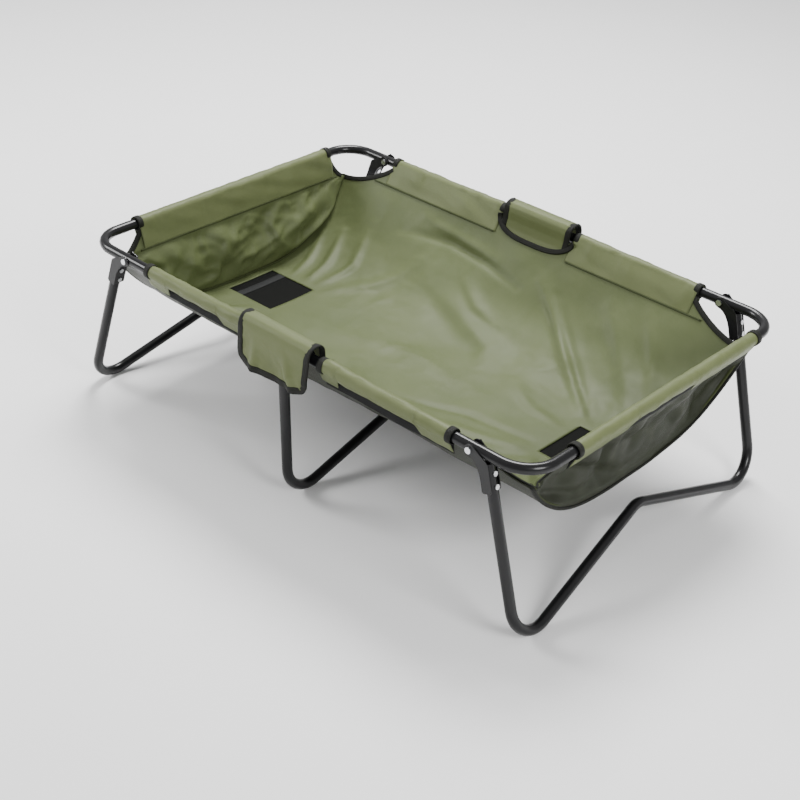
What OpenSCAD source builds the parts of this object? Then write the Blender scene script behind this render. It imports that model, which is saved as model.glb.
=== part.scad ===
// Folding raised cradle bed: a slung cloth tub on a two-part tube frame that
// folds at mid length, standing on three W-shaped bent-tube leg frames.
// X runs along the bed, Y across it, Z up. The origin is on the floor, under the middle.

/* [Frame] */
// Length of the rail rectangle, between tube centrelines
frame_l = 1040; // [960:10:1120]
// Width of the rail rectangle, between tube centrelines
frame_w = 700; // [640:10:760]
// Height of the rail centreline above the floor
rail_h = 320; // [310:1:350]
// Outside diameter of all the steel tube
tube_d = 19; // [18:0.5:20]
// Wall of the steel tube
tube_wall = 1.2; // [1:0.1:1.5]
// Centreline radius of the four frame corners
corner_r = 58; // [50:1:70]

/* [End legs] */
// Distance of the end-leg pivots from mid length
end_pivot_x = 410; // [400:1:420]
// Square distance from the pivot to the leg tube's centreline
leg_offset = 25.5; // [24:0.5:28]
// Outward lean of the open end legs, in degrees
end_splay = 17.3; // [14:0.1:19]
// Height of the end leg frame's middle crest above the floor
end_crest_h = 96; // [80:1:100]
// Centreline radius of the foot bends
foot_r = 56; // [45:1:60]
// Centreline radius of the middle crest bend
crest_r = 45; // [35:1:60]

/* [Middle leg] */
// Drop of the middle-leg pivot below the rail centreline
mid_pivot_drop = 22; // [21:0.5:24]
// Place of the middle-leg pivot along the bed
mid_pivot_x = -5; // [-6:0.5:-4]
// Lean of the open middle leg towards the right-hand half, in degrees
mid_splay = 2; // [1:0.1:3]
// Inward lean of each middle-leg side tube, in degrees
mid_side_lean = 2.6; // [1.5:0.1:3.5]
// Height of the middle leg frame's crest above the floor
mid_crest_h = 88; // [70:1:92]

/* [Cloth tub] */
// Depth of the tub floor below the rail centreline
tub_depth = 180; // [150:1:182]
// Power of the tub's cross-section curve: 2 is a parabola, more is boxier
tub_power = 3.3; // [2.4:0.1:4]
// How far the tub's end panels lean in towards the floor
end_lean = 24; // [10:1:40]
// Length of bare tube, from a corner, on the long rails
bare_long = 152; // [145:1:165]
// Length of bare tube, from a corner, on the short rails
bare_short = 92; // [80:1:100]
// Side of the square drain window
drain_side = 120; // [100:2:130]
// Place of the drain window's middle along the bed
drain_x = 396; // [380:1:400]

/* [Centre flaps] */
// Length of each centre flap along the rail
flap_l = 160; // [140:2:170]
// How far the outer leaf of a flap hangs below the rail centreline
flap_drop = 66; // [60:1:90]

/* [Hidden] */
$fn = 48;

tube_r = tube_d / 2;
bore_r = tube_r - tube_wall;
half_l = frame_l / 2;
half_w = frame_w / 2;

// Centre hinge, measured from the rail centreline at mid length
fold_pivot_z = 14;
lug_r = 9;
saddle_in = tube_r + 0.2;
saddle_t = 1.5;
plate_in = saddle_in + saddle_t + 0.4;
plate_t = 1.8;
plate_out = plate_in + plate_t;
hinge_bolt_r = 3;
running_gap = 0.08;
butt_gap = 0.2;
plate_rivet_x = [-30, -52];
saddle_rivet_x = [24, 48];
rivet_r = 2.4;
rivet_head_r = 4.4;
rivet_head_t = 1.8;
stop_r = 3;
stop_drop = 36;

// End-leg brackets, measured from their pivot along the leaning leg
bracket_in = tube_r + 0.6;
bracket_t = 1.8;
bracket_out = bracket_in + bracket_t;
leg_bolt_r = 3;
leg_rivet_s = [38, 60];
bracket_end_s = 70;
web_x = leg_offset - tube_r - 0.2 - bracket_t;
leg_top_s = ((leg_offset + tube_r) * sin(end_splay) + tube_r) / cos(end_splay) + 0.2;

// Depths of the tube centreline below the pivots, along each leaning leg
end_low_s = (rail_h + leg_offset * sin(end_splay) - tube_r) / cos(end_splay);
end_crest_s = (rail_h + leg_offset * sin(end_splay) - end_crest_h) / cos(end_splay);
mid_low_s = (rail_h - mid_pivot_drop - tube_r) / cos(mid_splay);
mid_crest_s = (rail_h - mid_pivot_drop - mid_crest_h) / cos(mid_splay);
mid_top_s = -7;

// The bends of the leg tubes are a hair fuller, and the straight runs reach into them
bend_lip = 0.05;
bend_lap = 0.5;

// The open middle leg leans on a cross rivet here
stop_x = mid_pivot_x + (stop_drop - mid_pivot_drop) * tan(mid_splay)
    + tube_r / cos(mid_splay) + stop_r + 0.15;

// Cloth
cloth_t = 1.8;
wrap_in = tube_r + 0.1;
wrap_out = tube_r + cloth_t;
tub_half = half_w - wrap_out;
tub_end_x = half_l - wrap_out;
lean_angle = atan(end_lean / tub_depth);
curve_steps = 20;
wall_z = 3;
cover_gap = 0.3;
cover_z = 2;
side_split = 190;
corner_dip = 45;
hem_l = 8;
strap_out = 30;
strap_w = 18;
flap_gap_l = flap_l / 2 + 4;
flap_in = plate_out + 5;
flap_out = flap_in + cloth_t;
flap_top = fold_pivot_z + lug_r + 2;
cut_out_z = -24;
tail_z = -30;
strip_z = -38;
window_from = 130;
window_to = 300;
end_window = 87;

// ---- shared shapes ----

// Everything on the rails is drawn about the rail centreline
module at_rail() {
    translate([0, 0, rail_h]) children();
}

// A copy on each long rail, with the same side facing -Y
module on_long_rails() {
    for (side = [-1, 1]) translate([0, side * half_w, 0]) children();
}

// A copy on each long rail, mirrored, so that +Y in the child points into the bed
module on_long_rails_inward() {
    translate([0, -half_w, 0]) children();
    translate([0, half_w, 0]) mirror([0, 1, 0]) children();
}

// The right-hand child, or its mirror image on the left
module on_end(right) {
    if (right) children();
    else mirror([1, 0, 0]) children();
}

// A round bar along Y from y0 to y1
module bar_y(r, y0, y1, r_in = 0) {
    rotate([-90, 0, 0]) translate([0, 0, y0]) difference() {
        cylinder(r = r, h = y1 - y0);
        if (r_in > 0) translate([0, 0, -1]) cylinder(r = r_in, h = y1 - y0 + 2);
    }
}

// A round tube along X from x0 to x1
module tube_x(r, r_in, x0, x1) {
    rotate([0, 90, 0]) translate([0, 0, x0]) linear_extrude(x1 - x0) difference() {
        circle(r);
        circle(r_in);
    }
}

// A flat plate in the XZ plane between y0 and y1
module plate_xz(y0, y1) {
    translate([0, y1, 0]) rotate([90, 0, 0]) linear_extrude(y1 - y0) children();
}

// A profile in (Y, Z) drawn out along X from x0 to x1
module run_x(x0, x1) {
    translate([x0, 0, 0]) rotate([90, 0, 90]) linear_extrude(x1 - x0) children();
}

// The section of the tube; a lip makes its wall fuller on both faces
module tube_ring(lip = 0) {
    difference() {
        circle(tube_r + lip);
        circle(bore_r - lip);
    }
}

// A straight tube in the XY plane from the origin along a heading
module tube_run(length, heading) {
    rotate([0, 0, heading]) rotate([90, 0, 90]) linear_extrude(length) tube_ring();
}

// A bend in the XY plane about the origin, from one angle through a sweep
module tube_bend(radius, from, sweep, lip = 0) {
    rotate([0, 0, from]) rotate_extrude(angle = sweep) translate([radius, 0]) tube_ring(lip);
}

// ---- steel frame ----

// One U-shaped half of the frame, lying on the right
module half_frame() {
    straight_x = half_l - corner_r;
    straight_y = half_w - corner_r;
    difference() {
        union() {
            for (side = [-1, 1]) {
                translate([butt_gap, side * half_w, 0]) tube_run(straight_x - butt_gap, 0);
                translate([straight_x, side * straight_y, 0])
                    tube_bend(corner_r, side > 0 ? 0 : -90, 90);
            }
            translate([half_l, -straight_y, 0]) tube_run(2 * straight_y, 90);
        }
        on_long_rails() translate([end_pivot_x, 0, 0])
            bar_y(leg_bolt_r + running_gap, -tube_d, tube_d);
        on_long_rails() hinge_holes(saddle_rivet_x);
        on_long_rails() mirror([1, 0, 0]) hinge_holes(plate_rivet_x);
    }
}

// Rivet holes across a rail, at a list of places along it
module hinge_holes(places) {
    for (x = places) translate([x, 0, 0]) bar_y(rivet_r, -tube_d, tube_d);
}

module frame_tube(right) {
    color([0.06, 0.06, 0.06]) at_rail() on_end(right) half_frame();
}

// Plastic plug in each open tube end at the fold
module tube_end_plugs(right) {
    color([0.12, 0.12, 0.12]) at_rail() on_end(right) on_long_rails()
        tube_x(bore_r, 4, butt_gap + 0.3, 16);
}

// ---- centre hinge ----

// Outline of an outer hinge plate: top lug, rail strap and lower lug for the middle leg
module hinge_plate_outline() {
    polygon([
        [-62, -7], [-60, -8.5], [-20, -9], [-13.5, -22], [-13, -36], [-9, -42],
        [9, -42], [14, -37], [14, -31], [9, -22], [9, 0], [9, 8], [-9, 8],
        [-60, 8], [-62, 6.5]
    ]);
    translate([0, fold_pivot_z]) circle(lug_r);
    translate([-lug_r, 0]) square([2 * lug_r, fold_pivot_z]);
}

module hinge_plates() {
    color([0.08, 0.08, 0.08]) at_rail() on_long_rails() difference() {
        for (side = [-1, 1]) {
            y0 = side > 0 ? plate_in : -plate_out;
            plate_xz(y0, y0 + plate_t) hinge_plate_outline();
        }
        translate([0, 0, fold_pivot_z]) bar_y(hinge_bolt_r + running_gap, -20, 20);
        translate([mid_pivot_x, 0, -mid_pivot_drop]) bar_y(hinge_bolt_r + running_gap, -20, 20);
        translate([stop_x, 0, -stop_drop]) bar_y(stop_r, -20, 20);
        for (x = plate_rivet_x) translate([x, 0, 0]) bar_y(rivet_r, -20, 20);
    }
}

module hinge_plate_spacers() {
    color([0.75, 0.76, 0.78]) at_rail() on_long_rails() for (x = plate_rivet_x) {
        for (side = [-1, 1]) {
            y0 = side > 0 ? tube_r : -plate_in;
            translate([x, 0, 0]) bar_y(5, y0, y0 + plate_in - tube_r, rivet_r);
        }
    }
}

// A through rivet along Y with a head on both ends
module rivet_y(reach) {
    bar_y(rivet_r, -reach, reach);
    bar_y(rivet_head_r, reach, reach + rivet_head_t);
    bar_y(rivet_head_r, -reach - rivet_head_t, -reach);
}

module hinge_plate_rivets() {
    color([0.8, 0.81, 0.83]) at_rail() on_long_rails()
        for (x = plate_rivet_x) translate([x, 0, 0]) rivet_y(plate_out);
}

// Outline of an inner hinge saddle: lug round the fold bolt, strap along the right rail
module saddle_outline() {
    polygon([
        [0, fold_pivot_z - lug_r], [12, -6], [56, -6], [59, -3], [59, 5], [56, 8],
        [16, 8], [lug_r * cos(25), fold_pivot_z + lug_r * sin(25)], [0, fold_pivot_z]
    ]);
    translate([0, fold_pivot_z]) circle(lug_r);
}

module hinge_saddles() {
    color([0.08, 0.08, 0.08]) at_rail() on_long_rails() difference() {
        for (side = [-1, 1]) {
            y0 = side > 0 ? saddle_in : -saddle_in - saddle_t;
            plate_xz(y0, y0 + saddle_t) saddle_outline();
        }
        translate([0, 0, fold_pivot_z]) bar_y(hinge_bolt_r + running_gap, -20, 20);
        for (x = saddle_rivet_x) translate([x, 0, 0]) bar_y(rivet_r, -20, 20);
    }
}

module hinge_saddle_rivets() {
    color([0.8, 0.81, 0.83]) at_rail() on_long_rails()
        for (x = saddle_rivet_x) translate([x, 0, 0]) rivet_y(saddle_in + saddle_t);
}

// A bolt along Y with its head on the -Y side
module bolt_y(r, head_y, tip_y, head_r = 5.5, head_t = 2.6) {
    bar_y(r, head_y, tip_y);
    bar_y(head_r, head_y - head_t, head_y);
}

// A lock nut round the tip of a bolt
module nut_y(r, y0, height = 3.4, across = 10) {
    translate([0, y0, 0]) rotate([-90, 30, 0]) difference() {
        cylinder(d = across / cos(30), h = height, $fn = 6);
        translate([0, 0, -1]) cylinder(r = r, h = height + 2);
    }
}

module fold_bolts() {
    color([0.75, 0.76, 0.78]) at_rail() on_long_rails() translate([0, 0, fold_pivot_z])
        bolt_y(hinge_bolt_r, -plate_out - 0.1, plate_out + 3.5);
}

module fold_nuts() {
    color([0.75, 0.76, 0.78]) at_rail() on_long_rails() translate([0, 0, fold_pivot_z])
        nut_y(hinge_bolt_r, plate_out + 0.1);
}

// ---- middle leg fittings ----

module middle_leg_bolts() {
    color([0.75, 0.76, 0.78]) at_rail() on_long_rails()
        translate([mid_pivot_x, 0, -mid_pivot_drop])
            bolt_y(hinge_bolt_r, -plate_out - 0.1, plate_out + 3.5);
}

module middle_leg_nuts() {
    color([0.75, 0.76, 0.78]) at_rail() on_long_rails()
        translate([mid_pivot_x, 0, -mid_pivot_drop]) nut_y(hinge_bolt_r, plate_out + 0.1);
}

module middle_leg_stops() {
    color([0.8, 0.81, 0.83]) at_rail() on_long_rails() translate([stop_x, 0, -stop_drop]) {
        bar_y(stop_r, -plate_out - 0.1, plate_out + 0.1);
        bar_y(stop_r + 1.6, plate_out, plate_out + 1.6);
        bar_y(stop_r + 1.6, -plate_out - 1.6, -plate_out);
    }
}

// Nylon washers that centre the leg tube between the hinge plates
module middle_leg_washers() {
    color([0.15, 0.15, 0.15]) at_rail() on_long_rails()
        translate([mid_pivot_x, 0, -mid_pivot_drop]) for (side = [-1, 1]) {
            y0 = side > 0 ? tube_r + 0.3 : -plate_in + 0.1;
            bar_y(6.5, y0, y0 + plate_in - tube_r - 0.4, hinge_bolt_r + running_gap);
        }
}

// ---- leg frames ----

// Side tube, foot bend and cross tube of a W-shaped leg frame, on its +Y side.
// Drawn in the leg's own plane: X down from the pivot, Y across the bed.
// top: half-width and depth of the tube end; tilt: inward lean of the side tube;
// low: depth of the foot bend's lowest point; crest: depth of the middle corner.
module w_half(top_y, top_s, tilt, low, crest) {
    rise = cross_rise(top_y, top_s, tilt, low, crest);
    foot_s = corner_s(low, rise, tilt);
    turn = 90 + rise - tilt;
    foot_cut = foot_r * tan(turn / 2);
    side_l = (foot_s - top_s) / cos(tilt) - foot_cut;
    cross_l = corner_y(top_y, top_s, foot_s, tilt) / cos(rise) - foot_cut - crest_r * tan(rise);
    translate([top_s, top_y, 0]) rotate([0, 0, -tilt]) {
        tube_run(side_l + bend_lap, 0);
        translate([side_l, -foot_r, 0]) tube_bend(foot_r, 90 - turn, turn, bend_lip);
        translate([side_l, -foot_r, 0]) rotate([0, 0, -turn]) translate([-bend_lap, foot_r, 0])
            tube_run(cross_l + 2 * bend_lap, 0);
    }
}

module w_frame(top_y, top_s, tilt, low, crest) {
    rise = cross_rise(top_y, top_s, tilt, low, crest);
    for (side = [0, 1]) mirror([0, side, 0]) w_half(top_y, top_s, tilt, low, crest);
    translate([crest + crest_r / cos(rise), 0, 0]) tube_bend(crest_r, 180 - rise, 2 * rise, bend_lip);
}

// Depth of the corner where the side tube's and cross tube's lines would meet
function corner_s(low, rise, tilt) =
    low + foot_r * (cos(tilt) * tan((90 + rise - tilt) / 2) + sin(tilt) - 1);

// Half-width of a leg frame at that corner
function corner_y(top_y, top_s, foot_s, tilt) = top_y - (foot_s - top_s) * tan(tilt);

// Rise of a cross tube towards the crest, closing in on the exact angle in a few steps
function cross_rise(top_y, top_s, tilt, low, crest, guess = 16, steps = 8) =
    steps == 0 ? guess
    : let (foot_s = corner_s(low, guess, tilt))
        cross_rise(top_y, top_s, tilt, low, crest,
            atan((foot_s - crest) / corner_y(top_y, top_s, foot_s, tilt)), steps - 1);

// Leg local axes: X outward, Z up along the leaning leg, origin at the pivot
module at_end_leg(right) {
    at_rail() on_end(right) translate([end_pivot_x, 0, 0]) rotate([0, -end_splay, 0]) children();
}

// Stand a leg frame drawn in the XY plane upright, its X axis pointing down
module upright() {
    rotate([0, 90, 0]) children();
}

module end_leg_frame(right) {
    color([0.06, 0.06, 0.06]) at_end_leg(right) difference() {
        translate([leg_offset, 0, 0]) upright()
            w_frame(half_w, leg_top_s, 0, end_low_s, end_crest_s);
        for (side = [-1, 1], s = leg_rivet_s)
            translate([leg_offset - tube_d, side * half_w, -s]) rotate([0, 90, 0])
                cylinder(r = rivet_r, h = 2 * tube_d);
    }
}

module leg_frame_middle() {
    color([0.06, 0.06, 0.06]) at_rail() translate([mid_pivot_x, 0, -mid_pivot_drop])
        rotate([0, -mid_splay, 0]) difference() {
            upright() w_frame(half_w, mid_top_s, mid_side_lean, mid_low_s, mid_crest_s);
            on_long_rails() bar_y(hinge_bolt_r + running_gap, -20, 20);
        }
}

// Outline of a bracket cheek in leg axes, with a hollow curve on its inner edge
module bracket_outline() {
    strap_out = leg_offset + 7;
    curve_r = 26;
    polygon(concat(
        [[-7, 7], [7, 9.5], [12, 2], [strap_out - 2, -16], [strap_out, -20],
         [strap_out, -bracket_end_s + 3], [strap_out - 3, -bracket_end_s],
         [web_x + 2, -bracket_end_s], [web_x, -bracket_end_s + 2]],
        [for (i = [0:8]) let (a = 10 * i)
            [web_x - curve_r * (1 - cos(a)) * 0.8, -48 + curve_r * sin(a) * 1.5]]
    ));
    circle(9.5);
}

module leg_brackets(right) {
    color([0.08, 0.08, 0.08]) at_end_leg(right) on_long_rails() difference() {
        union() {
            for (side = [-1, 1]) {
                y0 = side > 0 ? bracket_in : -bracket_out;
                plate_xz(y0, y0 + bracket_t) bracket_outline();
            }
            translate([web_x, -bracket_in - 0.1, -bracket_end_s + 2])
                cube([bracket_t, 2 * bracket_in + 0.2, bracket_end_s - 30]);
        }
        bar_y(leg_bolt_r + running_gap, -20, 20);
        for (s = leg_rivet_s) translate([0, 0, -s]) rotate([0, 90, 0])
            cylinder(r = rivet_r, h = 2 * tube_d);
    }
}

// Rivets through bracket web and leg tube, with a head on both sides
module leg_rivets(right) {
    head_out = leg_offset + tube_r;
    color([0.82, 0.83, 0.85]) at_end_leg(right) on_long_rails()
        for (s = leg_rivet_s) translate([0, 0, -s]) rotate([0, 90, 0]) {
            translate([0, 0, web_x - 1]) cylinder(r = rivet_r, h = head_out - web_x + 2);
            translate([0, 0, head_out]) cylinder(r = rivet_head_r, h = rivet_head_t);
            translate([0, 0, web_x - rivet_head_t]) cylinder(r = rivet_head_r, h = rivet_head_t);
        }
}

module leg_bolts(right) {
    color([0.8, 0.81, 0.83]) at_rail() on_end(right) on_long_rails()
        translate([end_pivot_x, 0, 0]) bolt_y(leg_bolt_r, -bracket_out - 0.1, bracket_out + 6, 5.5, 3);
}

// Domed cap nut over the tip of the leg bolt
module dome_nut() {
    translate([0, bracket_out + 0.1, 0]) difference() {
        union() {
            nut_y(leg_bolt_r, 0, 4, 9);
            bar_y(4, 3, 4.2);
            translate([0, 4.2, 0]) sphere(4);
        }
        bar_y(leg_bolt_r, -1, 6.2);
    }
}

module dome_nuts(right) {
    color([0.1, 0.1, 0.1]) at_rail() on_end(right) on_long_rails()
        translate([end_pivot_x, 0, 0]) dome_nut();
}

// ---- cloth tub ----

// Height of the tub's outer face across the bed, from the rail centreline
function tub_z(y) = -tub_depth * (1 - pow(abs(y) / tub_half, tub_power));

// A strip of the tub's cross-section between two places across the bed
module tub_section(y0, y1, low, high) {
    ys = [for (i = [0:curve_steps]) y0 + (y1 - y0) * i / curve_steps];
    polygon(concat(
        [for (y = ys) [y, tub_z(y) + low]],
        [for (i = [curve_steps:-1:0]) [ys[i], tub_z(ys[i]) + high]]
    ));
}

// Everything past the leaning end panel's outer face
module past_end() {
    translate([tub_end_x, 0, 0]) rotate([0, lean_angle, 0])
        translate([0, -half_w, -half_l]) cube([half_l, frame_w, frame_l]);
}

// The corner gaps, which leave the frame corners bare
module corner_gaps() {
    for (side = [0, 1]) mirror([0, side, 0]) translate([0, 0, -corner_dip])
        linear_extrude(2 * corner_dip) polygon([
            [half_l - bare_long, half_w], [half_l, half_w - bare_short], [half_l + 50, half_w + 50]
        ]);
}

// The openings in the tub wall behind the centre flaps
module flap_cut_outs() {
    for (side = [-1, 1])
        translate([-1, side * half_w - 50, cut_out_z]) cube([flap_gap_l + 1, 100, 60]);
}

// The square drain window in the floor
module drain_window() {
    translate([drain_x - drain_side / 2, -drain_side / 2, -tub_depth - 20])
        cube([drain_side, drain_side, 50]);
}

module trimmed() {
    difference() {
        children();
        past_end();
        corner_gaps();
        flap_cut_outs();
        drain_window();
        translate([-1, -half_w, -1]) cube([half_l + 2, frame_w, 60]);
    }
}

module liner_floor(right) {
    color([0.45, 0.49, 0.35]) at_rail() on_end(right) trimmed()
        run_x(0.3, half_l) tub_section(-side_split, side_split, 0, wall_z);
}

module liner_side(right, far) {
    color([0.47, 0.51, 0.37]) at_rail() on_end(right) mirror([0, far ? 1 : 0, 0]) trimmed()
        run_x(0.3, half_l) tub_section(-tub_half, -side_split, 0, wall_z);
}

module liner_end(right) {
    color([0.43, 0.47, 0.33]) at_rail() on_end(right) difference() {
        translate([tub_end_x, 0, 0]) rotate([0, lean_angle, 0]) run_x(-cloth_t, 0)
            end_panel_outline();
        corner_gaps();
    }
}

// Face of an end panel: the tub's curve, just inside the other panels
module end_panel_outline() {
    polygon(concat(
        [for (i = [-curve_steps:curve_steps])
            let (y = (tub_half - 4) * i / curve_steps) [y, min(-1.2, tub_z(y) + wall_z + 1)]],
        [[tub_half - 4, -1], [4 - tub_half, -1]]
    ));
}

module outer_cover(right) {
    edges = [-tub_half, -side_split, side_split, tub_half];
    color([0.24, 0.26, 0.19]) at_rail() on_end(right) trimmed()
        run_x(0.3, half_l) for (i = [0:2])
            tub_section(edges[i], edges[i + 1], -cover_gap - cover_z, -cover_gap);
}

// A cloth sleeve round a rail with a tail below it, the tail cut short in a window
module wrap_along(from, to, win_from, win_to) {
    tube_x(wrap_out, wrap_in, from, to);
    difference() {
        translate([from, 4, tail_z]) cube([to - from, 1.6, -tail_z - 9]);
        translate([win_from, 0, tail_z - 1]) cube([win_to - win_from, 10, 20]);
    }
}

module rail_wraps(right) {
    color([0.52, 0.57, 0.42]) at_rail() on_end(right) {
        on_long_rails_inward()
            wrap_along(flap_gap_l + hem_l, half_l - bare_long - hem_l, window_from, window_to);
        translate([half_l, 0, 0]) rotate([0, 0, 90])
            wrap_along(-half_w + bare_short + hem_l, half_w - bare_short - hem_l, -end_window, end_window);
    }
}

// Black hook-and-loop strip behind the tails of the wraps
module hook_strips(right) {
    strip_h = -strip_z - wrap_out - 0.3;
    color([0.07, 0.07, 0.07]) at_rail() on_end(right) {
        on_long_rails_inward() translate([flap_gap_l, 5.7, strip_z])
            cube([half_l - bare_long - flap_gap_l, 1.6, strip_h]);
        translate([half_l - 7.3, -half_w + bare_short, strip_z])
            cube([1.6, frame_w - 2 * bare_short, strip_h]);
    }
}

// Black bound hems round the rails, at both ends of each wrap
module wrap_bindings(right) {
    color([0.09, 0.09, 0.08]) at_rail() on_end(right) {
        on_long_rails() for (x = [flap_gap_l, half_l - bare_long - hem_l])
            tube_x(wrap_out, wrap_in, x, x + hem_l);
        for (y = [-half_w + bare_short, half_w - bare_short - hem_l])
            translate([half_l, 0, 0]) rotate([0, 0, 90]) tube_x(wrap_out, wrap_in, y, y + hem_l);
    }
}

module drain_mesh(right) {
    color([0.03, 0.03, 0.03]) at_rail() on_end(right)
        translate([drain_x - drain_side / 2, -drain_side / 2, -tub_depth + 0.2])
            cube([drain_side, drain_side, 1]);
}

// Webbing strap across the drain mesh, towards the end of the tub
module drain_strap(right) {
    color([0.1, 0.1, 0.1]) at_rail() on_end(right)
        translate([drain_x + strap_out - strap_w / 2, -drain_side / 2, -tub_depth + 1.2])
            cube([strap_w, drain_side, 1]);
}

// A flap folded over the rail and the centre hinge, its outer leaf hanging down.
// In the child's axes +Y points into the bed.
module centre_flap() {
    translate([-flap_l / 2, 0, 0]) run_x(0, flap_l) difference() {
        translate([-flap_out, -flap_drop]) square([2 * flap_out, flap_drop + flap_top + cloth_t]);
        translate([-flap_in, -flap_drop - 1]) square([2 * flap_in, flap_drop + flap_top + 1]);
        translate([0, -flap_drop - 1]) square([2 * flap_out, flap_drop + 1 + cut_out_z + 1]);
    }
}

module flap_near() {
    color([0.5, 0.55, 0.4]) at_rail() translate([0, -half_w, 0]) centre_flap();
}

module flap_far() {
    color([0.5, 0.55, 0.4]) at_rail() translate([0, half_w, 0]) mirror([0, 1, 0]) centre_flap();
}

frame_tube(false);  // frame_tube_left
frame_tube(true);  // frame_tube_right
hinge_plates();
hinge_plate_spacers();
hinge_plate_rivets();
hinge_saddles();
hinge_saddle_rivets();
fold_bolts();
fold_nuts();
tube_end_plugs(false);  // tube_end_plugs_left
tube_end_plugs(true);  // tube_end_plugs_right
middle_leg_bolts();
middle_leg_nuts();
middle_leg_stops();
middle_leg_washers();
end_leg_frame(false);  // leg_frame_left
leg_frame_middle();
end_leg_frame(true);  // leg_frame_right
leg_brackets(false);  // leg_brackets_left
leg_brackets(true);  // leg_brackets_right
leg_rivets(false);  // leg_rivets_left
leg_rivets(true);  // leg_rivets_right
leg_bolts(false);  // leg_bolts_left
leg_bolts(true);  // leg_bolts_right
dome_nuts(false);  // dome_nuts_left
dome_nuts(true);  // dome_nuts_right
liner_floor(false);  // liner_floor_left
liner_side(false, false);  // liner_near_side_left
liner_side(false, true);  // liner_far_side_left
liner_end(false);  // liner_end_left
liner_floor(true);  // liner_floor_right
liner_side(true, false);  // liner_near_side_right
liner_side(true, true);  // liner_far_side_right
liner_end(true);  // liner_end_right
outer_cover(false);  // outer_cover_left
outer_cover(true);  // outer_cover_right
rail_wraps(false);  // rail_wraps_left
rail_wraps(true);  // rail_wraps_right
hook_strips(false);  // hook_strips_left
hook_strips(true);  // hook_strips_right
wrap_bindings(false);  // wrap_bindings_left
wrap_bindings(true);  // wrap_bindings_right
drain_mesh(false);  // drain_mesh_left
drain_mesh(true);  // drain_mesh_right
drain_strap(false);  // drain_strap_left
drain_strap(true);  // drain_strap_right
flap_near();  // centre_flap_near
flap_far();  // centre_flap_far
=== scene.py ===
# %% [markdown]
# # A folding raised cradle bed
# The steel comes from CAD and is kept as it is. The cloth is what makes or breaks this object: a slack tub
# of coated nylon, slung from sleeves that wrap the rails, with black bound edges. Every cloth piece is
# built here as a thin sheet.

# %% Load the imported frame
import math

import bmesh
import bpy
import numpy as np
from mathutils import Matrix, Vector


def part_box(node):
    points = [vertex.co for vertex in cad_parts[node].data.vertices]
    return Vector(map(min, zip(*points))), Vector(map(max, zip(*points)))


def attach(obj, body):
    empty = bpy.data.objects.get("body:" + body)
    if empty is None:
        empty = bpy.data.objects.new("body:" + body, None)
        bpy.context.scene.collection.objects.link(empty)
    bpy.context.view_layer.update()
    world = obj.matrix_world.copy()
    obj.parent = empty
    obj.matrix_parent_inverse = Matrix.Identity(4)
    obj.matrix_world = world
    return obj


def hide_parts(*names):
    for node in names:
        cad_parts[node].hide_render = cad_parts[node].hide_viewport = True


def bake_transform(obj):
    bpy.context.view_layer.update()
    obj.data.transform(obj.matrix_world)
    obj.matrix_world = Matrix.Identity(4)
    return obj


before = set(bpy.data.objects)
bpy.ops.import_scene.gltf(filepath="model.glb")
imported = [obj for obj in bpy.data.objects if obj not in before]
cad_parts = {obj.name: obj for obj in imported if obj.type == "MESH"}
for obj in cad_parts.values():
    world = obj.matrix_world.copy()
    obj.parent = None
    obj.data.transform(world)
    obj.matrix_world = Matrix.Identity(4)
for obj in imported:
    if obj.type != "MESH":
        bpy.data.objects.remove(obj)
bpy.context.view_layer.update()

# %% [markdown]
# ## Measures
# The rails are the datum. Their centreline gives the width, length and height of everything that is sewn on
# to them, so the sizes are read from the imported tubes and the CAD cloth, and only the cut of the cloth is
# stated here.

# %% Sizes read from the frame
rail_low, rail_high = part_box("frame_tube_right")
TUBE_R = (rail_high.z - rail_low.z) / 2
RAIL_Z = (rail_high.z + rail_low.z) / 2
HALF_L = rail_high.x - TUBE_R
HALF_W = rail_high.y - TUBE_R
wall_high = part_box("liner_far_side_right")[1]
floor_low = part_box("liner_floor_right")[0]
TUB_W = wall_high.y
TUB_L = wall_high.x
TUB_DEPTH = RAIL_Z - floor_low.z
net_low, net_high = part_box("drain_mesh_right")
NET_MIDDLE = (net_low.x + net_high.x) / 2
print("rail height", round(RAIL_Z, 4), "tub", round(TUB_L, 4), round(TUB_W, 4), round(TUB_DEPTH, 4))

# %% Sizes of the cloth's cut
# Heights are from the rails' centreline. A pair such as (-1, 1) says left or right end, then near or far side.
SECTION_POWER = 3.3    # how flat the tub's floor is
END_LEAN = 0.024    # an end's foot stands in from its top
TOP_EDGE_Z = -0.004    # the tub's upper edge, under the sleeves
CORNER_DIP = 0.048    # depth of the cut-away corners
CUT_OUT_HALF = 0.086    # the cut-out behind a centre flap: half its length, and its depth
CUT_OUT_DEEP = 0.029
SIDE_SEAM_Z = -0.036    # where the sleeves are sewn to the sides and the ends
END_SEAM_Z = -0.046
SLEEVE_R = TUBE_R + 0.0019
TAIL_IN, TAIL_Z = 0.0045, -0.031    # lower edge of a sleeve's tail
STRIP_TOP, STRIP_Z = -0.0085, -0.040    # a hook strip's upper and lower edge
STRIP_INSET = 0.004
SHORT_SLEEVE = {-1: 0.244, 1: 0.275}    # where the end rails' sleeves stop, near and far
LONG_SLEEVE = {(-1, -1): 0.352, (1, -1): 0.370, (-1, 1): 0.382, (1, 1): 0.364}
LONG_WINDOW = {
    (-1, -1): (0.160, 0.298), (1, -1): (0.125, 0.300), (-1, 1): (0.150, 0.300), (1, 1): (0.130, 0.300),
}
SHORT_WINDOW = (-0.087, 0.087)
NET_HALF = 0.060    # half the side of a drain window
NET_X = (NET_MIDDLE - NET_HALF, NET_MIDDLE + NET_HALF)
CLOTH_THICK = 0.0012
COVER_GAP = 0.0030    # the cover hangs this far outside the liner
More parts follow.
